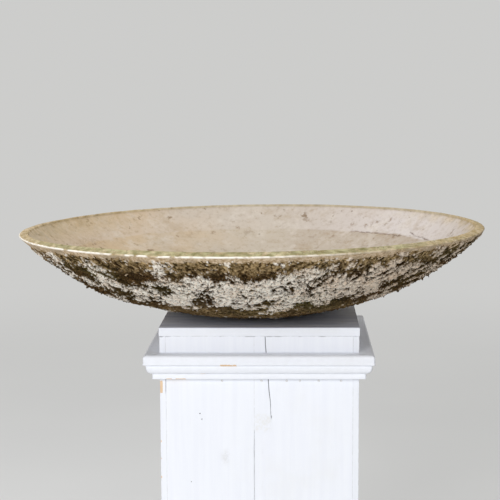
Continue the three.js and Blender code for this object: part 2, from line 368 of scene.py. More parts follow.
def crust_look():
    """Lime flakes, brown dirt and dark moss, with painted shade in the crevices."""
    look = Look("moss_and_lime_crust")
    grit = look.noise(0.0028, 6, 0.8)
    fleck = look.noise(0.0070, 6, 0.8)
    patch = look.noise(0.045, 5, 0.6)
    crumb = look.noise(0.0042, 6, 0.8)
    dirt = look.mix(look.step(crumb, 0.44, 0.62), paint_rgb(32, 20, 8), paint_rgb(110, 81, 44))
    dirt = look.over(dirt, look.step(patch, 0.45, 0.62, 0, 0.4), (84, 59, 31))
    green = look.mix(look.step(crumb, 0.42, 0.60), paint_rgb(30, 27, 10), paint_rgb(98, 90, 44))
    colour = look.mix(look.attribute("moss"), dirt, green)
    tan = look.mix(look.step(fleck, 0.36, 0.60), paint_rgb(108, 82, 46), paint_rgb(204, 178, 132))
    colour = look.mix(look.attribute("warm"), colour, tan)
    colour = look.over(colour, look.step(grit, 0.54, 0.62, 0, 0.45), (208, 176, 136))
    lime = look.mix(look.step(fleck, 0.30, 0.54), paint_rgb(224, 193, 161), paint_rgb(255, 249, 238))
    lime = look.over(lime, look.step(look.axis("X"), 0.02, 0.30, 0, 0.45), (212, 181, 148))
    lime = look.over(lime, look.step(patch, 0.50, 0.68, 0, 0.35), (230, 198, 164))
    colour = look.mix(look.attribute("lime"), colour, lime)
    vein = look.math("ABSOLUTE", look.math("SUBTRACT", fleck, 0.5))
    colour = look.over(colour, look.step(vein, 0.0, 0.02, 0.18, 0), (78, 54, 28))
    # Painted shade: near-black laid into the crust's pits and crevices, where shadow falls.
    colour = look.over(colour, look.attribute("deep"), (26, 16, 5), 0.78)
    normal = look.bump(grit, 0.0026)
    return look.surface(colour, 0.95, normal, Specular_IOR_Level=0.04)


def tuft_look():
    look = Look("moss_tufts")
    grain = look.noise(0.006, 4, 0.7)
    colour = look.mix(look.step(grain, 0.4, 0.6), paint_rgb(34, 25, 12), paint_rgb(80, 66, 34))
    colour = look.over(colour, look.step(look.noise(0.03, 3), 0.5, 0.62), (98, 72, 44))
    return look.surface(colour, 0.95, look.bump(grain, 0.001), Specular_IOR_Level=0.1)


def painted_look(name, along, painted_reflection_streaks=0.0):
    """White gloss paint gone dull, brushed along the wood, which runs along X, Y or Z.

    The last argument is how strong the bluish streaks on the top face are, a painted reflection in the glossy
    paint; when it is not zero, the top face also gets a bluish painted sheen.
    """
    look = Look(name)
    scale = [1.0, 1.0, 1.0]
    scale["XYZ".index(along)] = 0.045
    brushed = look.stretched(scale)
    streaks = look.noise(0.0016, 4, 0.6, brushed)
    bands = look.noise(0.012, 4, 0.6, brushed)
    colour = look.mix(look.step(bands, 0.35, 0.65), paint_rgb(237, 240, 248), paint_rgb(240, 243, 250))
    colour = look.over(colour, look.step(look.noise(0.16, 4), 0.52, 0.7, 0, 0.20), (228, 228, 226))
    strokes = look.step(look.noise(0.004, 4, 0.7, brushed), 0.6, 0.72, 0, 0.07)
    colour = look.over(colour, strokes, (196, 199, 206))
    if painted_reflection_streaks:
        # Painted reflection: darker bluish streaks along the grain on the top face, standing in for the dish
        # and backdrop reflected in the glossy paint.
        painted_reflection_mask = look.step(look.noise(0.009, 5, 0.75, brushed), 0.44, 0.58, 0, painted_reflection_streaks)
        on_top = look.step(look.axis("Z"), TOP_Z - 2.0 * MM, TOP_Z - 0.8 * MM)
        # Painted sheen: the top face tinted bluish, standing in for light reflected in the glossy paint.
        colour = look.over(colour, on_top, (232, 237, 255), 0.5)
        colour = look.over(colour, look.math("MULTIPLY", painted_reflection_mask, on_top), (168, 175, 206))
    grime = look.ragged("grime", 0.012, 5, 0.7, 0.36, 0.62)
    colour = look.over(colour, grime, (150, 144, 132), 0.7)
    ragged = look.math("MULTIPLY", look.noise(0.004, 5, 0.7), 0.6)
    worn = look.step(look.math("ADD", look.attribute("worn"), ragged), 0.86, 0.94)
    wood = look.mix(look.noise(0.003, 4, 0.6, brushed), paint_rgb(212, 176, 138), paint_rgb(242, 220, 192))
    colour = look.mix(worn, colour, wood)
    colour = look.over(colour, look.attribute("dark"), (38, 32, 28))
    filler = look.ragged("filler", 0.01, 5, 0.7, 0.42, 0.6)
    colour = look.over(colour, filler, (216, 213, 200), 0.28)
    normal = look.bump(streaks, 0.00006)
    normal = look.bump(look.noise(0.05, 3), 0.0006, normal)
    rough = look.mix(worn, look.step(bands, 0.3, 0.7, 0.42, 0.60), (0.85, 0.85, 0.85, 1))
    if painted_reflection_streaks:
        wet = look.step(look.noise(0.014, 4, 0.7, brushed), 0.40, 0.60, 0.30, 0.55)
        rough = look.mix(on_top, rough, wet)
    return look.surface(colour, rough, normal, Specular_IOR_Level=0.4)


def pine_look():
    look = Look("bare_pine")
    grain = look.noise(0.004, 5, 0.6, look.stretched((1.0, 1.0, 0.05)), 0.6)
    colour = look.mix(look.step(grain, 0.35, 0.65), paint_rgb(158, 116, 70), paint_rgb(208, 172, 120))
    knots = look.step(look.spots(0.14), 0.10, 0.03)
    colour = look.over(colour, knots, (96, 62, 34), 0.7)
    return look.surface(colour, look.step(grain, 0.3, 0.7, 0.65, 0.85), look.bump(grain, 0.0005))


def nail_look():
    look = Look("painted_nail")
    rust = look.step(look.noise(0.0016, 5, 0.7), 0.42, 0.6)
    colour = look.mix(look.math("MULTIPLY", rust, 0.35), paint_rgb(232, 234, 238), paint_rgb(168, 146, 120))
    return look.surface(colour, look.step(rust, 0, 1, 0.45, 0.8), look.bump(rust, 0.0002))


CEMENT = cement_look()
CRUST = crust_look()
TUFTS = tuft_look()
PAINT_ALONG = {letter: painted_look(f"white_paint_along_{letter.lower()}", letter) for letter in "XYZ"}
# The top planks' paint, with its painted sheen and painted reflection streaks.
PAINT_ON_TOP = painted_look("white_paint_on_top", "X", 0.50)
PINE = pine_look()
NAIL = nail_look()

# ---------------------------------------------------------------- the dish's shape

dish_low, dish_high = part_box("dish")
RADIUS = (dish_high.x - dish_low.x) / 2
FOOT_Z = dish_low.z
ROUNDNESS = 0.605  # half axis of the ellipse that the outside follows
FOOT_RADIUS = 0.075
WALL_TOP = 0.1825  # height of the outside at the rim, over the foot
WALL = 0.014  # thickness
LIP_WIDTH = 0.020
LIP_EDGE = 0.184  # height of the lip's outer edge, over the foot
LIP_SLOPE = 0.27  # the lip rises inwards
RIM_LEAN = 0.032  # the wall is this share taller at +X, and shorter at -X


def below(r, half_axis):
    """How far an ellipse lies below its middle at radius r, as a share of its depth."""
    return np.sqrt(np.clip(1 - (r / half_axis) ** 2, 0, None))


HALF_DEPTH = WALL_TOP / (below(FOOT_RADIUS, ROUNDNESS) - below(RADIUS, ROUNDNESS))
ELLIPSE_Z = HALF_DEPTH * below(FOOT_RADIUS, ROUNDNESS)


def outside(r):
    """Height of the outside of the wall over the foot."""
    return np.maximum(ELLIPSE_Z - HALF_DEPTH * below(r, ROUNDNESS), 0)


def inside(r):
    """Height of the inside of the wall over the foot."""
    return ELLIPSE_Z - (HALF_DEPTH - WALL) * below(r, ROUNDNESS - WALL)


def dish_place(r, turn, height):
    """Points of the dish from their radius, turn and height over the foot, leaning as the rim does."""
    x, y = r * np.cos(turn), r * np.sin(turn)
    return np.stack([x, y, FOOT_Z + height * (1 + RIM_LEAN * x / RADIUS)], axis=1)


def outward(r, turn):
    """Directions out of the outside of the wall."""
    slope = HALF_DEPTH / ROUNDNESS**2 * r / below(r, ROUNDNESS)
    normal = np.stack([slope * np.cos(turn), slope * np.sin(turn), -np.ones_like(r)], axis=1)
    return normal / np.linalg.norm(normal, axis=1, keepdims=True)


def turn_from(turn, degrees):
    """How many degrees each turn is away from the given one, either way."""
    return np.abs((np.degrees(turn) - degrees + 180) % 360 - 180)


def facing(turn, degrees, width):
    """1 where the turn is the given one, fading to 0 at width degrees to either side."""
    return smooth(turn_from(turn, degrees), width, 0)


# ---------------------------------------------------------------- crust

# Where lime, dark dirt, thick growth and moss lie on the outside: turn in degrees, with the front at -90,
# radius in metres, how far each reaches in degrees and metres, and how strong it is.
LIME_PATCHES = [
    (-90, 0.40, 35, 0.07, 1.15),
    (-130, 0.47, 15, 0.02, 0.9),
    (-120, 0.34, 25, 0.05, 0.6),
    (-60, 0.39, 20, 0.06, 0.6),
    (-50, 0.44, 30, 0.06, 0.5),
    (20, 0.40, 40, 0.09, 0.4),
    (90, 0.38, 45, 0.08, 0.5),
    (170, 0.41, 40, 0.07, 0.4),
]
DARK_PATCHES = [
    (-90, 0.46, 15, 0.035, 1.3),
    (-120, 0.45, 20, 0.055, 1.0),
    (-140, 0.45, 15, 0.04, 0.9),
    (-75, 0.35, 15, 0.035, 0.8),
    (-45, 0.47, 10, 0.02, 1.0),
    (-65, 0.33, 20, 0.05, 0.5),
    (-150, 0.36, 35, 0.09, 0.6),
    (-125, 0.32, 25, 0.04, 0.5),
    (-35, 0.42, 15, 0.02, 0.7),
    (-25, 0.35, 30, 0.08, 0.7),
    (60, 0.44, 30, 0.05, 0.7),
    (130, 0.44, 35, 0.06, 0.6),
]
THICK_PATCHES = [(-150, 0.34, 40, 0.11, 6.0), (-90, 0.46, 10, 0.03, 1.5)]  # the last number is in mm
MOSS_PATCHES = [
    (-135, 0.46, 15, 0.04, 0.9),
    (-75, 0.34, 25, 0.07, 0.8),
    (-115, 0.40, 25, 0.06, 0.5),
    (-70, 0.30, 40, 0.07, 0.4),
    (-25, 0.48, 35, 0.02, 0.4),
    (110, 0.42, 60, 0.09, 0.7),
]
BARE_DEPTH = 3.6 * MM  # the crust's skin lies this deep in the wall where nothing grows
BACK_DEPTH = 4.6 * MM  # and its back this deep everywhere
THICKEST = 10.5  # mm


def patches(listed, r, turn):
    """How strongly the listed areas reach each point, all added up."""
    total = np.zeros(len(r))
    for degrees, radius, reach, depth, strength in listed:
        total += strength * facing(turn, degrees, reach) * smooth(np.abs(r - radius), depth, 0)
    return total


def on_the_wall(r, turn):
    """Places for the crust's noise, a little drawn out down the wall."""
    return np.stack([r * np.cos(turn), r * np.sin(turn), 0.7 * outside(r)], axis=1)


def crust_fields(r, turn):
    """What has grown at each point of the outside: its height over the wall in metres, its kinds, and the
    painted shade of its low places.
    """
    place = on_the_wall(r, turn)
    wander = np.stack([noise(place, 0.016, s) for s in (1, 2, 3)], axis=1)
    bent = place + wander * 0.005
    broad = layered(place, 0.11, 3, 4)
    clump = layered(place, 0.042, 4, 12)
    pits = layered(bent, 0.012, 3, 15)
    grit = layered(bent, 0.0042, 2, 17)
    plate, tone = chips(bent, 0.011, 5)
    seams = smooth(plate, 0.10, 0.02)
    holes = smooth(layered(bent, 0.0095, 2, 23), 0.40, 0.66)

    lime_weight = 0.10 * broad + patches(LIME_PATCHES, r, turn) - patches(DARK_PATCHES, r, turn)
    edge_zone = np.maximum(facing(turn, -154, 34), facing(turn, -20, 34)) * smooth(RADIUS - r, 0.004, 0.02)
    lumps = edge_zone * smooth(noise(place, 0.013, 61) + 0.4 * noise(place, 0.006, 62), 0.10, 0.55)
    field = lime_weight * 0.66 + 1.10 * clump + 0.62 * pits + 0.48 * grit
    field -= 0.9 * lumps + 0.05 + 0.14 * facing(turn, -34, 36)
    field -= 0.95 * smooth(r, 0.335, 0.275)
    field -= 0.35 * smooth(RADIUS - r, 0.034, 0.018) * (1 - facing(turn, -20, 50))
    pale = smooth(field, -0.06, 0.14) * (1 - 0.6 * seams) * (1 - holes)
    moss = np.clip(0.18 + 0.5 * noise(place, 0.07, 9) + patches(MOSS_PATCHES, r, turn), 0, 1)

    growth = 0.3 + 2.0 * clump + 1.4 * pits * (1 - 0.4 * pale) + 1.1 * grit + 1.9 * pale * (0.6 + 0.6 * tone)
    growth += moss * (0.5 + 1.2 * noise(place, 0.012, 21)) - 1.2 * seams * pale - 1.8 * holes
    growth += patches(THICK_PATCHES, r, turn) + 3.2 * lumps - 1.0 * edge_zone
    growth = MM * np.clip(growth, -3.0, THICKEST)

    rim_gap = 0.0080 + 0.011 * facing(turn, -162, 30) - 0.007 * facing(turn, -20, 50)
    rim_gap += 0.005 * noise(place, 0.05, 31) + 0.004 * noise(place, 0.009, 32)
    rim_gap = np.maximum(rim_gap, MM * (3.0 - 1.6 * facing(turn, -20, 50)))
    cover = smooth(RADIUS - r, rim_gap * 0.75, rim_gap * 1.25) * smooth(r, 0.105, 0.150)
    thin = smooth(RADIUS - r, 0.036, 0.012)
    growth = mixed(growth, np.clip(growth, -0.6 * MM, 1.6 * MM), thin * smooth(turn_from(turn, -20), 30, 60))
    height = mixed(-BARE_DEPTH, growth, cover)
    # deep is painted shade: the lower a point lies among the clumps and pits, the darker it is painted.
    deep = smooth(clump + 0.9 * pits + 0.5 * grit - 0.5 * holes, 0.10, -0.75)
    warm_area = smooth(RADIUS - r, 0.052, 0.024) * (1 - 0.85 * facing(turn, -20, 46))
    warm_area += 0.35 * smooth(broad, 0.1, 0.5) + 0.45 * smooth(r, 0.35, 0.26)
    speckle = 0.8 * noise(bent, 0.010, 41) + 0.7 * noise(bent, 0.0045, 42)
    warm = np.clip(warm_area, 0, 1) * smooth(speckle, -0.45, 0.35)
    return height, {
        "lime": pale,
        "moss": moss * (1 - 0.5 * warm),
        "warm": warm * (1 - pale),
        "deep": deep * (1 - 0.7 * pale) * (1 - 0.5 * warm),
    }


def halved(radii, full, limit):
    """How many points each ring needs so that its spacing stays under limit, by halving from full."""
    counts = []
    for r in radii:
        n = full
        while n > 64 and 2 * math.pi * r / (n / 2) < limit:
            n //= 2
        counts.append(n)
    return counts


def build_crust():
    """The crust as one closed skin over the wall. Gives the places and the height of its points."""
    spacing = 1.8 * MM * COARSE
    radii = np.linspace(RADIUS - 1.2 * MM, 0.095, int(0.46 / spacing))
    full = 128 * int(round(2 * math.pi * RADIUS / spacing / 128))
    counts = halved(radii, full, 2.6 * MM * COARSE)
    r, turn, _ = ring_points(radii, counts)
    height, kinds = crust_fields(r, turn)
    front = dish_place(r, turn, outside(r)) + outward(r, turn) * height[:, None]

    back_radii = np.linspace(0.1, 0.49, 24)
    back_counts = [max(counts[-1], counts[0] // 2**i) for i in reversed(range(len(back_radii)))]
    br, bturn, _ = ring_points(back_radii, back_counts)
    back = dish_place(br, bturn, outside(br)) - outward(br, bturn) * BACK_DEPTH
    points = np.concatenate([front, back])
    quads, triangles = ring_faces(counts + back_counts, closed=True)
    for key in kinds:
        kinds[key] = np.concatenate([kinds[key], np.zeros(len(back))])
    make_piece("dish_crust", points, quads + triangles, CRUST, "dish", ["dish"], kinds)
    return r, turn, height


# ---------------------------------------------------------------- cement

TIDE_RADIUS = 0.42
# The cracks run along the tide line: from and to which turn in degrees, and how far outside it they end.
CRACKS = [(35, 57, 0.0), (19, 33, 0.010)]
MARKS = 12  # small brown ones, scattered over the back of the inside


def scattered_marks(flat):
    """How brown each point of the inside is: marks scattered over its back, and a faint stain at the left."""
    rng = np.random.default_rng(8)
    mark_turn = np.radians(rng.uniform(10, 120, MARKS))
    mark_r = rng.uniform(0.39, 0.475, MARKS)
    sizes = rng.uniform(6, 13, MARKS) * MM
    ragged = 1 + 0.5 * noise(flat, 0.008, 91)
    r, turn = np.hypot(flat[:, 0], flat[:, 1]), np.arctan2(flat[:, 1], flat[:, 0])
    total = patches([(155, TIDE_RADIUS, 14, 0.025, 0.35)], r, turn)
    for x, y, size in zip(mark_r * np.cos(mark_turn), mark_r * np.sin(mark_turn), sizes):
        away = np.hypot(flat[:, 0] - x, (flat[:, 1] - y) * 0.8) * ragged
        total = np.maximum(total, smooth(away, size * 0.62, size * 0.18))
    return total


def rounded(into, radius):
    """How far below a sharp edge a rounded one lies, at points that far in from it."""
    short = radius - np.minimum(into, radius)
    return radius - np.sqrt(np.clip(radius**2 - short**2, 0, None))


def build_cement():
    """The cast dish as one closed body: outside, lip and inside."""
    fine = 2.0 * MM * COARSE
    low_wall = np.arange(FOOT_RADIUS, 0.45, 2.5 * fine)
    wall_r = np.concatenate([[0.02, 0.05], low_wall, np.arange(0.45, RADIUS - 0.7 * MM, fine)])
    lip = np.linspace(0, 1, int(16 / COARSE))
    lip_r = RADIUS - lip * LIP_WIDTH
    lip_h = LIP_EDGE + LIP_SLOPE * (RADIUS - lip_r)
    lip_h -= 0.6 * rounded(lip * LIP_WIDTH, 2.2 * MM) + rounded((1 - lip) * LIP_WIDTH, 4 * MM)
    inner_r = np.arange(RADIUS - LIP_WIDTH - 0.4 * MM, 0.38, -fine)
    inner_r = np.concatenate([inner_r, np.arange(0.38, 0.01, -2 * fine)])

    radii = np.concatenate([wall_r, lip_r, inner_r])
    base = np.concatenate([outside(wall_r), lip_h, inside(inner_r)])
    part = np.concatenate([np.zeros(len(wall_r)), np.ones(len(lip_r)), np.full(len(inner_r), 2)])
    full = 128 * int(round(2 * math.pi * RADIUS / fine / 128))
    counts = halved(radii, full, 3.6 * MM * COARSE)
    for i in range(1, len(counts)):
        counts[i] = min(counts[i], counts[i - 1] * 2)
    for i in range(len(counts) - 2, -1, -1):
        counts[i] = min(counts[i], counts[i + 1] * 2)
    r, turn, ring = ring_points(radii, counts)
    height, part = base[ring], part[ring]
    points = dish_place(r, turn, height)
    flat = np.stack([r * np.cos(turn), r * np.sin(turn), height], axis=1)

    on_wall, on_lip, on_inside = part == 0, part == 1, part == 2
    sunk = 2.6 * MM * smooth(RADIUS - r, 0.006, 0.03) * smooth(r, FOOT_RADIUS, 0.13) * on_wall
    rough = MM * (0.35 * noise(flat, 0.012, 3) + 0.25 * noise(flat, 0.004, 4))
    points -= outward(r, turn) * (sunk - rough * on_wall * (r > 0.1))[:, None]
    crack = np.zeros(len(r))
    wobble = 4 * MM * noise(flat, 0.03, 61) + 1.2 * MM * noise(flat, 0.005, 63)
    for start, end, apart in CRACKS:
        along = (np.degrees(turn) - start) / (end - start)
        off = np.abs(r + wobble - TIDE_RADIUS - apart * smooth(along, 0, 1))
        ends = smooth(along, -0.02, 0.03) * smooth(along, 1.02, 0.97)
        crack = np.maximum(crack, smooth(off, 2.0 * MM, 0.3 * MM) * ends)
    crack *= on_inside * (0.35 + 0.65 * smooth(noise(flat, 0.03, 63), -0.6, 0.1))
    lift = MM * (0.9 * noise(flat, 0.16, 5) + 0.30 * noise(flat, 0.03, 6))
    lift *= on_inside * smooth(RADIUS - LIP_WIDTH - r, 0, 0.02)
    lift -= MM * 0.7 * crack
    nicks = smooth(noise(flat, 0.016, 8), 0.45, 0.85)
    edge = RADIUS - r
    near = facing(turn, -100, 85)
    lift += on_lip * MM * (0.35 * noise(flat, 0.05, 7) + 0.25 * noise(flat, 0.008, 9) - 1.1 * nicks)
    lift += on_lip * MM * (3.4 * near - 3.0 * facing(turn, 178, 55)) * edge / LIP_WIDTH
    points[:, 2] = np.minimum(points[:, 2] + lift, dish_high.z - 0.05 * MM)

    algae = np.clip(facing(turn, -95, 75) * 1.6 + 0.30 - facing(turn, 176, 44), 0, 1)
    algae *= on_lip * smooth(edge, 1.2 * MM, 3 * MM)
    algae += on_inside * 0.16 * facing(turn, 165, 50) * smooth(r, 0.42, 0.475)
    ochre = on_lip * np.clip(facing(turn, -12, 48) * 1.6, 0, 1) * smooth(edge, 1 * MM, 4 * MM)
    ochre += on_inside * 0.45 * facing(turn, 150, 46) * smooth(r, 0.43, 0.478)
    worn = smooth(noise(flat, 0.02, 71) + 0.4 * noise(flat, 0.006, 72), -0.55, -0.15)
    # arris is the worn white edge of the rim, and partly painted highlight: on the outer corner at the front
    # and the left end, and faintly along the lip's inner edge.
    arris = on_lip * smooth(edge, 2.8 * MM, 1.6 * MM) + on_wall * smooth(edge, 1.2 * MM, 0.4 * MM)
    arris *= worn * (0.55 + 0.45 * smooth(noise(flat, 0.01, 73), -0.4, 0.1))
    arris *= np.clip(facing(turn, -116, 66) * 1.9, 0, 1)
    left_end = np.clip(facing(turn, 176, 62) * 1.8, 0, 1)
    arris += 0.85 * (on_lip | on_wall) * smooth(edge, 2.2 * MM, 0.8 * MM) * left_end
    inner_edge = smooth(edge, LIP_WIDTH - 3 * MM, LIP_WIDTH - 1 * MM)
    inner_edge *= smooth(edge, LIP_WIDTH + 1.5 * MM, LIP_WIDTH)
    arris += 0.35 * inner_edge * worn * near * (on_lip | on_inside)
    right = facing(turn, 35, 55)
    tide_r = TIDE_RADIUS + 0.004 * noise(flat, 0.05, 81)
    by_lip = on_inside * 0.45 * facing(turn, 176, 62) * smooth(r, 0.430, 0.476)
    patchy = smooth(noise(flat, 0.03, 92), -0.9, 0.3)
    by_lip += on_inside * 0.8 * facing(turn, -2, 66) * smooth(r, 0.458, 0.479) * patchy
    # A thin band of painted shadow along the lip at the far left, just inside its outer edge.
    painted_shadow_band = on_lip * smooth(edge, 8 * MM, 4 * MM) * smooth(edge, 1.2 * MM, 2.4 * MM) * facing(turn, 160, 30)
    values = {
        "outside": on_wall * 1.0,
        "marks": scattered_marks(flat) * on_inside,
        "algae": algae,
        "lip": on_lip * (0.35 + 0.65 * smooth(turn_from(turn, 80), 40, 90)) + by_lip,
        "painted_shadow_band": painted_shadow_band,
        "ochre": ochre,
        "arris": np.clip(arris, 0, 1),
        "crack": crack,
        "above_tide": on_inside * smooth(r, tide_r - 2 * MM, tide_r + 3 * MM) * (0.25 + 0.75 * right),
        "tide": on_inside * smooth(np.abs(r - tide_r), 5 * MM, 0) * right,
        "stain": on_inside * np.clip(0.35 + smooth(r, 0.43, 0.475) + facing(turn, 150, 40), 0, 1),
    }
    last = np.arange(counts[-1]) + len(r) - counts[-1]
    first = np.arange(counts[0])
    quads, triangles = ring_faces(counts)
    faces = [f[:, ::-1] for f in quads + triangles] + [np.array([first[::-1]]), np.array([last])]
    make_piece("dish_cement", points, faces, CEMENT, "dish", ["dish"], values)


# ---------------------------------------------------------------- moss tufts

# Where the longest tufts hang from the crust: the turn in the middle and how far to either side of it, in
# degrees, from and to which radius in metres, and how many.
HANGING_TUFTS = [
    (-150, 8, 0.26, 0.39, 5),
    (-22, 7, 0.30, 0.475, 6),
    (90, 30, 0.34, 0.42, 2),
]
BLADES = 7  # in each of them


def build_tufts(r, turn, height):
    """Small ragged tufts of moss and loose flake, thickest where the crust is dark."""
    rng = np.random.default_rng(5)
    wanted = 8500
    choice = rng.choice(len(r), wanted * 3, replace=False)
    cr, cturn = r[choice], turn[choice]
    place = np.stack([0.62 * cr * np.cos(cturn), 0.62 * cr * np.sin(cturn), cr], axis=1)
    liking = 0.35 + 0.6 * noise(place, 0.03, 51) + patches(DARK_PATCHES, cr, cturn)
    liking += 0.35 * (facing(cturn, -152, 40) + facing(cturn, -22, 34))
    liking *= smooth(RADIUS - cr, 0.012, 0.03) * smooth(cr, 0.16, 0.24) * (cr / RADIUS)
    chosen = choice[rng.random(len(choice)) < liking][:wanted]
    out = outward(r[chosen], turn[chosen])
    root = dish_place(r[chosen], turn[chosen], outside(r[chosen]))
    root += out * (height[chosen] - 0.8 * MM)[:, None]
    draw = np.random.default_rng(17)
    hung_turn = [draw.uniform(middle - reach, middle + reach, n) for middle, reach, _, _, n in HANGING_TUFTS]
    hung_turn = np.radians(np.concatenate(hung_turn))
    hung_r = np.concatenate([draw.uniform(low, high, n) for _, _, low, high, n in HANGING_TUFTS])
    grid = np.stack([r * np.cos(turn), r * np.sin(turn)], axis=1)
    spots = np.stack([hung_r * np.cos(hung_turn), hung_r * np.sin(hung_turn)], axis=1)
    nearest = np.array([np.argmin(np.sum((grid - spot) ** 2, axis=1)) for spot in spots])
    nearest = np.repeat(nearest, BLADES)
    hung_out = outward(r[nearest], turn[nearest])
    hung_root = dish_place(r[nearest], turn[nearest], outside(r[nearest]))
    hung_root += hung_out * (height[nearest] - 0.5 * MM)[:, None] + rng.normal(0, 1.1 * MM, hung_root.shape)
    out, root = np.concatenate([out, hung_out]), np.concatenate([root, hung_root])
    n = len(out)
    length = MM * (1.6 + 2.6 * rng.random(n) ** 3 + 3.0 * (rng.random(n) < 0.03))
    width = MM * (0.7 + 0.9 * rng.random(n))
    hung_length = MM * np.repeat(draw.uniform(4.5, 7.5, len(hung_r)), BLADES)
    hung_length *= 0.45 + 0.55 * rng.random(len(nearest))
    length[-len(nearest) :] = hung_length
    width[-len(nearest) :] = hung_length * 0.30
    aim = out + rng.normal(0, 0.45, (n, 3)) + np.array([0, 0, -0.35])
    aim /= np.linalg.norm(aim, axis=1, keepdims=True)
    side = np.cross(aim, rng.normal(0, 1, (n, 3)))
    side /= np.linalg.norm(side, axis=1, keepdims=True)
    other = np.cross(aim, side)
    sides, levels = 5, ((0.0, 0.75), (0.4, 1.0), (0.75, 0.62))
    points = []
    for up, wide in levels:
        for k in range(sides):
            a = 2 * math.pi * k / sides
            spread = (width * wide * (0.65 + 0.7 * rng.random(n)))[:, None]
            lean = (length * up)[:, None] * aim
            points.append(root + lean + spread * (side * math.cos(a) + other * 0.7 * math.sin(a)))
    points.append(root - aim * 0.5 * MM)
    points.append(root + aim * length[:, None])
    points = np.stack(points, axis=1)
    per = points.shape[1]
    bottom, top = per - 2, per - 1
    quads, triangles = [], []
    for k in range(sides):
        nxt = (k + 1) % sides
        triangles.append((bottom, nxt, k))
        triangles.append((top, 2 * sides + k, 2 * sides + nxt))
        for level in range(2):
            a, b = level * sides, (level + 1) * sides
            quads.append((a + k, a + nxt, b + nxt, b + k))
    offset = (np.arange(n) * per)[:, None, None]
    faces = [(np.array(f)[None] + offset).reshape(-1, len(f[0])) for f in (quads, triangles)]
    make_piece("dish_moss_tufts", points.reshape(-1, 3), faces, TUFTS, "dish", ["dish"])


# ---------------------------------------------------------------- boards


def ticks(low, high, spacing, dense=()):
    """Places along a board's side, spacing apart, and closer at its ends and in the dense stretches."""
    near = np.array([0, 0.35, 0.8, 1.4, 2.2, 3.4, 5.0]) * MM
    span = high - low
    near = near[near < span / 2 * 0.95]
    inner = np.linspace(low + near[-1], high - near[-1], max(2, int((span - 2 * near[-1]) / spacing) + 1))
    every = [low + near, high - near, inner]
    for start, end, gap in dense:
        every.append(np.arange(max(start, low), min(end, high), gap))
    merged = np.unique(np.concatenate(every))
    keep = np.concatenate([[True], np.diff(merged) > 0.22 * MM])
    merged = merged[keep]
    merged[-1] = high
    return merged


def lattice_box(xs, ys, zs):
    """The surface of a box as a grid of shared points, and its quads facing out."""
    shape = (len(xs), len(ys), len(zs))
    i, j, k = np.indices(shape)
    shell = (i == 0) | (i == shape[0] - 1) | (j == 0) | (j == shape[1] - 1) | (k == 0) | (k == shape[2] - 1)
    number = np.full(shape, -1)
    number[shell] = np.arange(shell.sum())
    points = np.stack([xs[i[shell]], ys[j[shell]], zs[k[shell]]], axis=1)
    quads = []
    for axis in range(3):
        for end in (0, -1):
            sheet = np.take(number, end, axis=axis)
            corners = [sheet[:-1, :-1], sheet[1:, :-1], sheet[1:, 1:], sheet[:-1, 1:]]
            quad = np.stack(corners, -1).reshape(-1, 4)
            outwards = (end == -1) == (axis != 1)
            quads.append(quad if outwards else quad[:, ::-1])
    return points, np.concatenate(quads)


def build_board(
    node, along, spacing=(0.006, 0.006), radius=0.9, wear=0.5, trim=None, dense=None, carve=None, grime=None
):
    """A painted board in a CAD board's place, with rounded and chipped edges.

    spacing is across and along the grain. radius is in millimetres. trim moves the lowest and highest
    corners. carve gives the depth to cut, in metres, with extra values, at points of the board.
    """
    low, high = (np.array(corner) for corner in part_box(node))
    if trim:
        low, high = low + np.array(trim[0]), high + np.array(trim[1])
    run = "XYZ".index(along)
    sides = []
    for axis in range(3):
        gap = (spacing[1] if axis == run else spacing[0]) * COARSE
        sides.append(ticks(low[axis], high[axis], gap, (dense or {}).get("XYZ"[axis], ())))
    points, quads = lattice_box(*sides)

    uneven = noise(points, 0.05, 2) + 0.6 * noise(points, 0.012, 3)
    flaw = noise(points, 0.022, 4) + 0.5 * noise(points, 0.006, 5)
    chip = smooth(flaw, 0.95 - 0.25 * wear, 1.25 - 0.25 * wear)
    bend = MM * np.clip(radius * (1 + 0.35 * uneven) + 2.2 * wear * chip, 0.10, None)
    bend = np.minimum(bend, (high - low).min() * 0.45)[:, None]
    core = np.clip(points, low + bend, high - bend)
    off = points - core
    far = np.linalg.norm(off, axis=1, keepdims=True)
    edge = np.sort(np.minimum(points - low, high - points), axis=1)[:, 1]
    reach = np.abs(off).max(axis=1, keepdims=True)
    points = np.where(far > 1e-9, core + off / np.maximum(far, 1e-9) * np.minimum(bend, reach), points)

    normal = np.where(far > 1e-9, off / np.maximum(far, 1e-9), 0)
    squeeze = [1.0, 1.0, 1.0]
    squeeze[run] = 0.12
    grain = noise(points * squeeze, 0.008, 6)
    wave = MM * (0.16 + 0.12 * noise(points * squeeze, 0.05, 7) + 0.05 * grain)
    extra = {}
    depth = np.zeros(len(points))
    if carve:
        depth, extra = carve(points, normal)
    points = points - normal * (wave + depth)[:, None]
    values = {
        "worn": smooth(edge, 3.0 * MM, 0.3 * MM) * (0.28 * wear + 0.6 * chip),
        "grime": np.zeros(len(points)) if grime is None else grime(points, edge),
        "dark": np.zeros(len(points)),
        "filler": np.zeros(len(points)),
    }
    for key, numbers in extra.items():
        values[key] = np.maximum(values[key], numbers)
    paint = PAINT_ON_TOP if node.startswith("top_plank") else PAINT_ALONG[along]
    make_piece(f"{node}_painted", points, [quads], paint, "pedestal", [node], values)


# The front planks' blemishes: places are to the right of the box's middle, and down from the top.
CRACK_TOP = (0.0105, 0.010)
CRACK_END = (0.0255, 0.208)
JOINT_OPENS = 0.217  # drop from which the joint between the planks is open
OLD_HOLES = [(-0.123, 0.180, 1.5), (-0.119, 0.192, 1.3), (-0.142, 0.325, 1.1)]  # the last is a radius in mm
SMUDGE = (-0.071, 0.272)
FILLER = (0.006, 0.2)
OLD_LINE_X = 0.0045  # a filled crack in the lower half

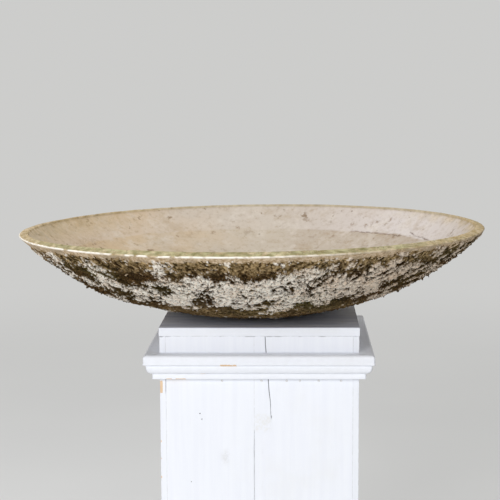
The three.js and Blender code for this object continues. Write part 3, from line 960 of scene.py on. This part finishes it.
FILLED = 0.8 * MM  # between boards the paint has filled the gaps: each board reaches this far into them
HALF_GAP = 0.15 * MM
JOINT_X = plank_high.x + HALF_GAP
BOX_LEFT_JOINT = plank_low.x - HALF_GAP
BOX_RIGHT_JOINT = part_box("front_plank_right")[1].x + HALF_GAP
TOP_GAP_DROP = TOP_Z - plank_high.z
# Where the left board's corner is bare: from and to which drop, and how wide in millimetres.
BARE_EDGE = [(0.111, 0.137, 5), (0.236, 0.242, 2), (0.272, 0.277, 2), (0.312, 0.318, 2)]


def grooves(points):
    """The joints between the front boards: how deep the paint has sunk into them, and how dark they are."""
    x, drop = points[:, 0], TOP_Z - points[:, 2]
    wobble = 0.25 * MM * noise(points * [0, 0, 1], 0.03, 48)
    depth, dark = np.zeros(len(points)), np.zeros(len(points))
    at_left = smooth(drop, 0.102, 0.108) * smooth(drop, 0.140, 0.130)
    opened = smooth(drop, JOINT_OPENS - 0.003, JOINT_OPENS + 0.005)
    joints = [
        (BOX_LEFT_JOINT, 0.22 + 1.8 * at_left, 0.05 + 0.8 * at_left, 0.9),
        (JOINT_X, 0.02 + 1.6 * opened, 0.42 * opened, 0.8),
        (BOX_RIGHT_JOINT, 0.30, 0.10, 0.9),
    ]
    for at, deep, shade, reach in joints:
        line = smooth(np.abs(x - at - wobble), reach * MM, 0.25 * MM)
        depth = np.maximum(depth, deep * MM * line)
        dark = np.maximum(dark, shade * line)
    return depth, dark


def crack_x(drop):
    """Where the crack runs, to the right of the box's middle."""
    t = (drop - CRACK_TOP[1]) / (CRACK_END[1] - CRACK_TOP[1])
    sway = 0.0005 * np.sin(drop * 47 + 0.6) + 0.0003 * np.sin(drop * 131)
    return CRACK_TOP[0] + (CRACK_END[0] - CRACK_TOP[0]) * t + sway


def carve_front(points, normal):
    """The crack, the old nail holes, the filler and the smudges of the front planks."""
    x, drop = points[:, 0] - PEDESTAL_X, TOP_Z - points[:, 2]
    front = normal[:, 1] < -0.5
    open_width = MM * mixed(0.8, 0.35, smooth(drop, 0.11, 0.20))
    line = smooth(np.abs(x - crack_x(drop)), open_width, open_width * 0.35)
    line *= smooth(drop, CRACK_END[1] + 0.006, CRACK_END[1] - 0.004)
    sunk, shade = grooves(points)
    depth = 2.6 * MM * line + sunk
    dark = np.maximum(line, shade)
    for hole_x, hole_drop, size in OLD_HOLES:
        hole = smooth(np.hypot(x - hole_x, drop - hole_drop), size * MM, size * 0.5 * MM)
        depth += 2.0 * MM * hole
        dark = np.maximum(dark, hole)
    patch = smooth(np.abs(x - FILLER[0]), 0.022, 0.012) * smooth(np.abs(drop - FILLER[1]), 0.022, 0.012)
    broken = smooth(noise(points * [1, 0, 0], 0.016, 45), 0.30, 0.55)
    dashes = smooth(drop - TOP_GAP_DROP, 1.5 * MM, 0.6 * MM) * broken
    dark = np.maximum(dark, 0.45 * dashes)
    smudge = 0.28 * smooth(np.hypot((x - SMUDGE[0]) * 1.6, drop - SMUDGE[1]), 0.022, 0.004)
    from_line = np.abs(x - OLD_LINE_X + 0.0004 * np.sin(drop * 90))
    old_line = 0.35 * smooth(from_line, 0.0009, 0.0003) * smooth(drop, 0.215, 0.24)
    depth += 0.35 * MM * old_line - 0.25 * MM * patch * front
    values = {"dark": dark * front, "filler": patch * front, "grime": np.maximum(smudge, old_line) * front}
    return depth * front, values


def carve_left(points, normal):
    """Bare wood where the paint has come off the left board's front corner."""
    across, drop = points[:, 0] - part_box("left_plank_front")[0].x, TOP_Z - points[:, 2]
    worn = np.zeros(len(points))
    for start, end, width in BARE_EDGE:
        patch = smooth(drop, start - 3 * MM, start + 2 * MM) * smooth(drop, end + 3 * MM, end - 2 * MM)
        patch *= smooth(across, (width + 2) * MM, width * MM)
        patch *= smooth(points[:, 1] - BOX_FRONT, 4 * MM, 2 * MM)
        worn = np.maximum(worn, patch)
    gone = worn * smooth(noise(points, 0.010, 46), -0.95, -0.4)
    front = normal[:, 1] < -0.5
    sunk, shade = grooves(points)
    gap = smooth(drop - TOP_GAP_DROP, 2.2 * MM, 1.0 * MM) * smooth(across, 9 * MM, 6 * MM)
    depth = 0.5 * MM * gone + (sunk + 1.2 * MM * gap) * front
    return depth, {"worn": 0.85 * gone, "dark": np.maximum(shade, 0.8 * gap) * front}


def carve_right(points, normal):
    """The joint between the right board and the front one."""
    front = normal[:, 1] < -0.5
    sunk, shade = grooves(points)
    return sunk * front, {"dark": np.maximum(shade, 0.035) * front}


def foot_grime(points, edge):
    """Dirt low on the pedestal's boards and along their edges."""
    return 0.35 * smooth(points[:, 2], 0.19, 0.11) + 0.4 * smooth(edge, 1.6 * MM, 0.5 * MM)


def top_grime(points, edge):
    """Dirt on the top board, most of it round the dish's foot."""
    by_foot = smooth(np.hypot(points[:, 0], points[:, 1]), 0.17, 0.09)
    return 0.03 + 0.5 * by_foot + 0.15 * smooth(edge, 2 * MM, 0.3 * MM)


def build_box():
    by_crack = [(PEDESTAL_X + 0.009, PEDESTAL_X + 0.024, 0.45 * MM)]
    round_hole, fine = 2.5 * MM, 0.6 * MM
    columns = [(PEDESTAL_X + x - round_hole, PEDESTAL_X + x + round_hole, fine) for x, _, _ in OLD_HOLES]
    rows = [(TOP_Z - drop - round_hole, TOP_Z - drop + round_hole, fine) for _, drop, _ in OLD_HOLES]
    for side in ("left", "right"):
        dense = {"X": columns, "Z": rows} if side == "left" else {"X": by_crack}
        wide = ((-FILLED, 0, 0), (FILLED, 0, 2 * HALF_GAP))
        node = f"front_plank_{side}"
        build_board(node, "Z", (0.004, 0.005), 0.2, 0.0, wide, dense, carve_front, foot_grime)
        build_board(f"back_plank_{side}", "Z", radius=0.5, wear=0.2, trim=wide, grime=foot_grime)
        inward = ((0, 0, 0), (FILLED, 0, 0)) if side == "left" else ((-FILLED, 0, 0), (0, 0, HALF_GAP))
        for end in ("front", "back"):
            carve = (carve_left if side == "left" else carve_right) if end == "front" else None
            node = f"{side}_plank_{end}"
            build_board(node, "Z", (0.005, 0.004), 0.7, 0.35, inward, carve=carve, grime=foot_grime)
    for place in ("front", "middle", "back"):
        down = ((0, 0, -HALF_GAP), (0, 0, 0))
        build_board(f"top_plank_{place}", "X", (0.004, 0.004), 0.9, 0.45, down, grime=top_grime)


# ---------------------------------------------------------------- mouldings

BEHIND = 0.3 * MM  # gap between a moulding and the box


def arc_points(centre, radius, start, end, steps):
    """Points of an ellipse's arc, from one angle to the other in degrees."""
    turns = np.radians(np.linspace(start, end, steps))
    return [(centre[0] + radius[0] * math.cos(t), centre[1] + radius[1] * math.sin(t)) for t in turns]


def outline(corners, gap=1.3 * MM):
    """A closed outline with points no further apart than gap, in order, from its corners."""
    dense = []
    for (ax, ay), (bx, by) in zip(corners, corners[1:] + corners[:1]):
        steps = max(1, int(math.hypot(bx - ax, by - ay) / (gap * COARSE)))
        dense += [(ax + (bx - ax) * i / steps, ay + (by - ay) * i / steps) for i in range(steps)]
    return np.array(dense)


# Where the paint has chipped off the front mouldings: from and to, to the right of the box's middle, the
# drop from the top, and how far up and down each reaches.
PAINT_CHIPS = [
    (-0.079, -0.045, 0.0730, 0.0020),
    (-0.190, -0.150, 0.1050, 0.0018),
    (-0.120, -0.111, 0.0922, 0.0012),
]


def chipped(points):
    """How bare the wood is at points of the front mouldings."""
    x, drop = points[:, 0], TOP_Z - points[:, 2]
    bare = np.zeros(len(points))
    for start, end, at, reach in PAINT_CHIPS:
        patch = smooth(x, start - 3 * MM, start + 1 * MM) * smooth(x, end + 3 * MM, end - 1 * MM)
        bare = np.maximum(bare, patch * smooth(np.abs(drop - at), reach * 1.4, reach * 0.8))
    return bare * smooth(noise(points, 0.008, 47), -0.55, -0.1)


def quarter_turned(points, quarters):
    """Points turned about the vertical axis by that many right angles."""
    cos, sin = round(math.cos(quarters * math.pi / 2)), round(math.sin(quarters * math.pi / 2))
    x, y, z = points.T
    return np.stack([cos * x - sin * y, sin * x + cos * y, z], axis=1)


def build_moulding(kind, face, quarter, corners, wear, grime):
    """One mitred length of moulding. corners are its outline: distance out from the box, and height."""
    node = f"{kind}_{face}"
    shape = outline(corners)
    spacing = (0.003 if face == "front" else 0.006) * COARSE
    rows = np.linspace(-1, 1, max(9, int(2 * BOX_HALF / spacing)))
    out = np.tile(shape[:, 0], len(rows))
    up = np.tile(shape[:, 1], len(rows))
    share = np.repeat(rows, len(shape))
    flat = np.stack([share * (BOX_HALF + out - BEHIND), -(BOX_HALF + out), up], axis=1)

    before, after = np.roll(shape, 1, 0), np.roll(shape, -1, 0)
    tangent = after - before
    tangent /= np.linalg.norm(tangent, axis=1, keepdims=True)
    normal_2d = np.stack([tangent[:, 1], -tangent[:, 0]], axis=1)
    step_in, step_out = shape - before, after - shape
    turn = step_in[:, 0] * step_out[:, 1] - step_in[:, 1] * step_out[:, 0]
    turn /= np.linalg.norm(step_in, axis=1) * np.linalg.norm(step_out, axis=1) + 1e-12
    arris = np.zeros(len(shape))
    for spread in range(-2, 3):
        arris = np.maximum(arris, np.roll(np.clip(turn, 0, 1), spread) * (1 - 0.3 * abs(spread)))
    arris = np.tile(arris, len(rows))
    shown = np.tile(smooth(shape[:, 0], 1 * MM, 4 * MM), len(rows))
    normal = np.tile(normal_2d, (len(rows), 1))

    turned = quarter_turned(flat, quarter)
    flaw = noise(turned, 0.024, 4) + 0.5 * noise(turned, 0.007, 5)
    chip = smooth(flaw, 0.98 - 0.25 * wear, 1.25 - 0.25 * wear)
    cut = MM * shown * (0.15 + 0.12 * noise(turned, 0.06, 7) + arris * (0.35 + 1.6 * wear * chip))
    flat[:, 1] += normal[:, 0] * cut
    flat[:, 2] -= normal[:, 1] * cut
    points = quarter_turned(flat, quarter)
    bare = chipped(points) if face == "front" else np.zeros(len(points))
    points[:, 0] += PEDESTAL_X

    n = len(shape)
    i = np.arange(n)
    band = np.stack([i, i + n, (i + 1) % n + n, (i + 1) % n], axis=1)
    quads = [band + row * n for row in range(len(rows) - 1)]
    caps = [np.array([i]), np.array([i[::-1] + (len(rows) - 1) * n])]
    values = {
        "worn": np.maximum(arris * shown * (0.25 * wear + 0.4 * chip), 0.85 * bare),
        "grime": grime(turned, shown),
        "dark": np.zeros(len(points)),
        "filler": np.zeros(len(points)),
    }
    paint = PAINT_ALONG["X" if quarter % 2 == 0 else "Y"]
    make_piece(f"{node}_painted", points, quads + caps, paint, "pedestal", [node], values)


def cap_outline(low, high, out):
    """Flat band with a rounded upper corner and a small lip at its foot."""
    round_top, round_foot = 6.5 * MM, 1.6 * MM
    shape = [(BEHIND, low), (out - round_foot, low)]
    shape += arc_points((out - round_foot, low + round_foot), (round_foot, round_foot), -60, 20, 4)
    shape += [(out - 0.9 * MM, low + 4.5 * MM), (out - 0.6 * MM, high - round_top)]
    shape += arc_points((out - 0.6 * MM - round_top, high - round_top), (round_top, round_top), 8, 90, 8)
    return shape + [(BEHIND, high)]


def bed_outline(low, high, out):
    """Square fillet with a quarter-round swelling over it."""
    fillet_out, fillet_high = out - 12 * MM, low + 12.5 * MM
    foot_out = out - 10.5 * MM
    rise = high - fillet_high
    shape = [(BEHIND, low), (fillet_out, low), (fillet_out, fillet_high), (foot_out, fillet_high)]
    shape += arc_points((foot_out, fillet_high + rise * 0.78), (out - foot_out, rise * 0.78), -80, 0, 10)
    return shape + [(out, high), (BEHIND, high)]


def skirting_outline(low, high, out):
    """Flat board with a rounded upper corner."""
    rounding = 3 * MM
    shape = [(BEHIND, low), (out, low), (out, high - rounding)]
    shape += arc_points((out - rounding, high - rounding), (rounding, rounding), 10, 90, 5)
    return shape + [(BEHIND, high)]


def base_outline(low, high, out):
    """Hollow-faced moulding over the skirting."""
    lip, thin = 5 * MM, 5 * MM
    shape = [(BEHIND, low), (out, low), (out, low + lip)]
    shape += arc_points((out, high), (out - thin, high - low - lip), 265, 182, 8)
    return shape + [(thin, high), (BEHIND, high)]


def cornice_grime(points, shown):
    return 0.06 * shown


def skirting_grime(points, shown):
    return shown * (0.10 + 0.45 * smooth(points[:, 2], 0.07, 0.0))


def build_mouldings():
    kinds = [
        ("cornice_cap", cap_outline, 0.8, cornice_grime),
        ("bed_moulding", bed_outline, 0.6, cornice_grime),
        ("skirting", skirting_outline, 0.9, skirting_grime),
        ("base_moulding", base_outline, 0.6, skirting_grime),
    ]
    for kind, shape, wear, grime in kinds:
        low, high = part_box(f"{kind}_front")
        corners = shape(low.z, high.z, BOX_FRONT - low.y)
        for quarter, face in enumerate(("front", "right", "back", "left")):
            build_moulding(kind, face, quarter, corners, wear, grime)


# ---------------------------------------------------------------- everything together


def finish_cad_nodes():
    """Nails and the inner frame keep their CAD shapes and get real materials."""
    for name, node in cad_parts.items():
        if "nail" in name:
            material = NAIL
        elif name.startswith(("post", "rail", "top_bearer")):
            material = PINE
        else:
            continue
        node.data.materials.clear()
        node.data.materials.append(material)


BACKDROP = (0.61, 0.61, 0.60, 1.0)


def build_stage():
    """A pale floor that fades with distance into the light all round, so no horizon shows."""
    look = Look("pale_floor")
    tone = look.noise(2.5, 3)
    colour = look.mix(look.step(tone, 0.3, 0.7), paint_rgb(214, 214, 214), paint_rgb(221, 221, 220))
    material = look.surface(colour, 0.9)
    out = look.tree.nodes["Material Output"]
    away = look.node("ShaderNodeVectorMath", operation="LENGTH")
    look.feed(away.inputs[0], look.place)
    glow = look.node("ShaderNodeEmission")
    glow.inputs["Color"].default_value = BACKDROP
    blend = look.node("ShaderNodeMixShader")
    look.feed(blend.inputs[0], look.step(away.outputs["Value"], 1.2, 6.0))
    look.feed(blend.inputs[1], out.inputs["Surface"].links[0].from_socket)
    look.feed(blend.inputs[2], glow.outputs[0])
    look.feed(out.inputs["Surface"], blend.outputs[0])
    mesh = bpy.data.meshes.new("floor")
    reach = 80
    corners = [(-reach, -reach, 0), (reach, -reach, 0), (reach, reach, 0), (-reach, reach, 0)]
    mesh.from_pydata(corners, [], [(0, 1, 2, 3)])
    mesh.materials.append(material)
    floor = bpy.data.objects.new("floor", mesh)
    floor.location.z = -0.0005
    bpy.context.scene.collection.objects.link(floor)


def add_lamp(name, place, target, size, power, colour):
    lamp = bpy.data.lights.new(name, "AREA")
    lamp.shape, lamp.size, lamp.energy, lamp.color = "DISK", size, power, colour
    holder = bpy.data.objects.new(name, lamp)
    holder.location = place
    holder.rotation_euler = (Vector(target) - Vector(place)).to_track_quat("-Z", "Y").to_euler()
    bpy.context.scene.collection.objects.link(holder)


def build_light():
    world = bpy.data.worlds.new("studio")
    world.use_nodes = True
    background = world.node_tree.nodes["Background"]
    background.inputs["Color"].default_value = BACKDROP
    background.inputs["Strength"].default_value = 1.0
    bpy.context.scene.world = world
    add_lamp("window", (-1.8, -4.9, 2.6), (0, 0, 0.85), 2.2, 138, (0.99, 0.99, 1.0))
    add_lamp("sky", (-0.8, -0.2, 4.2), (0, 0, 0.9), 3.0, 55, (0.98, 0.99, 1.0))
    bpy.context.scene.view_settings.view_transform = "Standard"


# The camera, from the middle of the pedestal's top.
CAMERA_X, CAMERA_Y, CAMERA_UP = 0.0726, -2.8948, 0.5042
CAMERA_TILT = 0.1273  # downwards, in radians
LENS = 96.2
SENSOR = 36
SHIFT = -0.0896


def build_camera():
    camera = bpy.data.cameras.new("camera")
    camera.sensor_width = SENSOR
    camera.lens = LENS
    camera.shift_x = SHIFT
    holder = bpy.data.objects.new("camera", camera)
    holder.location = (PEDESTAL_X + CAMERA_X, CAMERA_Y, TOP_Z + CAMERA_UP)
    holder.rotation_euler = (math.radians(90) - CAMERA_TILT, 0, 0)
    bpy.context.scene.collection.objects.link(holder)
    bpy.context.scene.camera = holder


build_camera()
build_light()
build_stage()
build_cement()
build_tufts(*build_crust())
build_box()
build_mouldings()
finish_cad_nodes()
